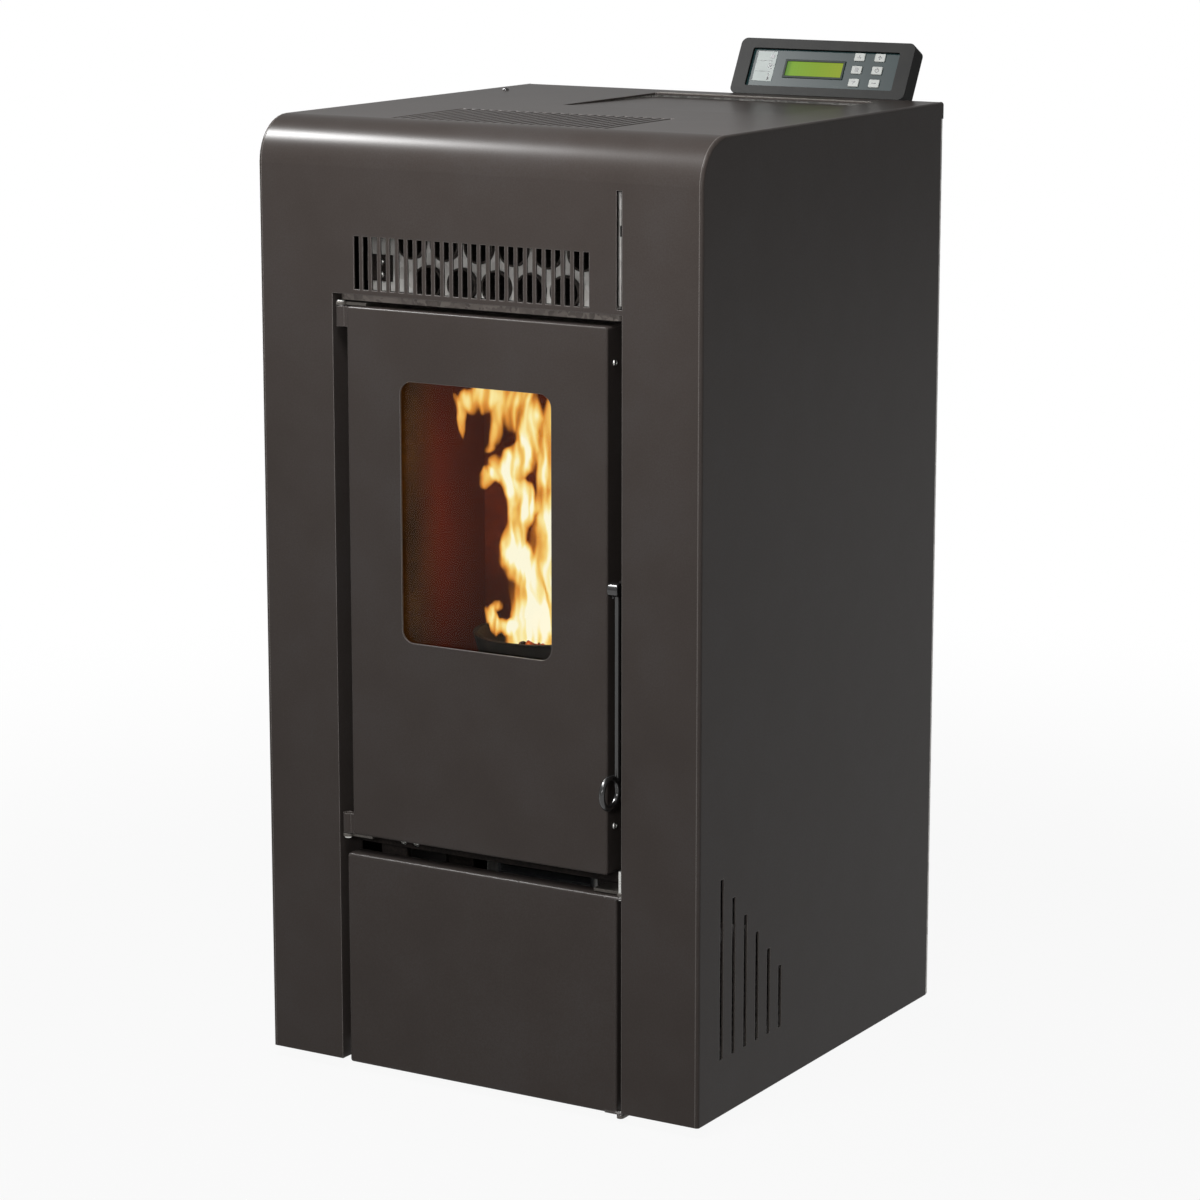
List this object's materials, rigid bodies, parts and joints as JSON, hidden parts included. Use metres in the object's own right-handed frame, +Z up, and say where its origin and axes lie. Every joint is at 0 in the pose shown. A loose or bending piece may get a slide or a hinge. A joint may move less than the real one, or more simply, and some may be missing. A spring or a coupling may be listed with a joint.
{
  "type": "pellet stove",
  "caption": "Freestanding pellet stove with charcoal steel casing, glazed fire door, lower panel, sunken hopper lid, warm air grilles and a leaning control console at the rear.",
  "frame": {"origin": "on the floor, under the middle of the bounding box", "axes": "+X to the right seen from the front, +Y to the rear, +Z up; the fire door faces -Y"},
  "size_m": [0.5, 0.586, 1.0179],
  "materials": {
    "charcoal_paint": "fine matt powder coat",
    "dark_paint": "matt heat-resistant black",
    "galvanised": "zinc coated sheet",
    "bright_steel": "bright steel",
    "zinc_screws": "zinc plated",
    "firebox_steel": "heat-resistant paint",
    "tube_steel": "oxidised steel",
    "liner": "vermiculite board",
    "cast": "as cast",
    "rope": "braided glass fibre",
    "ceramic_glass": "clear ceramic glass",
    "handle_steel": "matt black",
    "aluminium": "die cast",
    "motor_paint": "satin",
    "black_plastic": "fine textured",
    "console_plate": "printed film",
    "lcd": "lit display",
    "button_white": "satin",
    "seal_rubber": "foam",
    "nylon_white": "moulded",
    "reset_red": "moulded",
    "board_green": "solder mask",
    "igniter_ceramic": "sintered",
    "feet_rubber": "moulded"
  },
  "bodies": {
    "stove": {"air_intake_pipe": "galvanised", "ash_drawer": "galvanised", "auger_gearmotor": "motor_paint", "auger_tube": "firebox_steel", "back_panel": "galvanised", "base_tray": "galvanised", "brazier": "cast", "casing_screws": "zinc_screws", "console_bracket": "dark_paint", "console_case": "black_plastic", "console_face": "console_plate", "control_board": "board_green", "door_striker": "dark_paint", "exchanger_tubes": "tube_steel", "exhaust_blower_housing": "aluminium", "exhaust_motor": "motor_paint", "fireback_liner": "liner", "firebox_body": "firebox_steel", "firebox_header": "galvanised", "flue_spigot": "dark_paint", "front_top_cover": "charcoal_paint", "hinge_brackets": "galvanised", "hinge_pins": "bright_steel", "hopper_grid": "dark_paint", "igniter": "igniter_ceramic", "lcd_window": "lcd", "left_side_panel": "charcoal_paint", "levelling_feet": "feet_rubber", "pellet_hopper": "galvanised", "power_inlet": "black_plastic", "right_side_panel": "charcoal_paint", "room_fan_housing": "galvanised", "room_fan_motor": "motor_paint", "safety_thermostat": "black_plastic", "side_liners": "liner", "smoke_duct": "firebox_steel", "tube_plate": "galvanised"},
    "fire_door": {"door_panel": "charcoal_paint", "door_inner_frame": "dark_paint", "door_rope_gasket": "rope", "glass_gasket": "rope", "door_glass": "ceramic_glass", "glass_clips": "bright_steel", "door_screws": "zinc_screws"},
    "handle": {"door_handle": "handle_steel"},
    "ash_panel": {"lower_panel": "charcoal_paint"},
    "lid": {"hopper_lid": "charcoal_paint", "lid_seal_strip": "seal_rubber"},
    "screw": {"auger_screw": "bright_steel"},
    "smoke_wheel": {"exhaust_impeller": "bright_steel"},
    "air_wheel": {"room_fan_rotor": "aluminium"},
    "scraper": {"scraper_lever": "handle_steel"},
    "rocker": {"power_switch_rocker": "nylon_white"},
    "reset": {"reset_button": "reset_red"},
    "button_1": {"console_button_1": "button_white"},
    "button_2": {"console_button_2": "button_white"},
    "button_3": {"console_button_3": "button_white"},
    "button_4": {"console_button_4": "button_white"},
    "button_5": {"console_button_5": "button_white"},
    "button_6": {"console_button_6": "button_white"}
  },
  "joints": [
    {"name": "door_hinge", "type": "hinge", "parent": "stove", "child": "fire_door", "pos_m": [-0.1565, -0.262, 0.516], "axis": [0, 0, -1], "range_deg": [0, 110]},
    {"name": "handle_pull", "type": "hinge", "parent": "fire_door", "child": "handle", "pos_m": [0.148, -0.261, 0.531], "axis": [-1, 0, 0], "range_deg": [0, 40]},
    {"name": "lower_panel_hinge", "type": "hinge", "parent": "stove", "child": "ash_panel", "pos_m": [0.16, -0.261, 0.119], "axis": [0, 0, 1], "range_deg": [0, 90]},
    {"name": "lid_hinge", "type": "hinge", "parent": "stove", "child": "lid", "pos_m": [0.062, 0.186, 0.9538], "axis": [-1, 0, 0], "range_deg": [0, 80]},
    {"name": "scraper_pull", "type": "hinge", "parent": "stove", "child": "scraper", "pos_m": [0.161, -0.077, 0.872], "axis": [1, 0, 0], "range_deg": [0, 18]},
    {"name": "auger_drive", "type": "hinge", "parent": "stove", "child": "screw", "pos_m": [0, 0.167, 0.36805], "axis": [0, -0.5299, 0.848], "continuous": true},
    {"name": "smoke_wheel_drive", "type": "hinge", "parent": "stove", "child": "smoke_wheel", "pos_m": [-0.107, 0.118, 0.162], "axis": [1, 0, 0], "continuous": true},
    {"name": "air_wheel_drive", "type": "hinge", "parent": "stove", "child": "air_wheel", "pos_m": [0, -0.019, 0.167], "axis": [1, 0, 0], "continuous": true},
    {"name": "power_switch", "type": "hinge", "parent": "stove", "child": "rocker", "pos_m": [0.18, 0.23, 0.147], "axis": [-1, 0, 0], "range_deg": [0, 16]},
    {"name": "thermostat_reset", "type": "slide", "parent": "stove", "child": "reset", "axis": [0, -1, 0], "range_m": [0, 0.0015], "stiffness_N_per_m": 600, "springref_m": -0.0005},
    {"name": "button_press_1", "type": "slide", "parent": "stove", "child": "button_1", "axis": [0, 0.8797, -0.4756], "range_m": [0, 0.001], "stiffness_N_per_m": 600, "springref_m": -0.0005},
    {"name": "button_press_2", "type": "slide", "parent": "stove", "child": "button_2", "axis": [0, 0.8797, -0.4756], "range_m": [0, 0.001], "stiffness_N_per_m": 600, "springref_m": -0.0005},
    {"name": "button_press_3", "type": "slide", "parent": "stove", "child": "button_3", "axis": [0, 0.8797, -0.4756], "range_m": [0, 0.001], "stiffness_N_per_m": 600, "springref_m": -0.0005},
    {"name": "button_press_4", "type": "slide", "parent": "stove", "child": "button_4", "axis": [0, 0.8797, -0.4756], "range_m": [0, 0.001], "stiffness_N_per_m": 600, "springref_m": -0.0005},
    {"name": "button_press_5", "type": "slide", "parent": "stove", "child": "button_5", "axis": [0, 0.8797, -0.4756], "range_m": [0, 0.001], "stiffness_N_per_m": 600, "springref_m": -0.0005},
    {"name": "button_press_6", "type": "slide", "parent": "stove", "child": "button_6", "axis": [0, 0.8797, -0.4756], "range_m": [0, 0.001], "stiffness_N_per_m": 600, "springref_m": -0.0005}
  ]
}
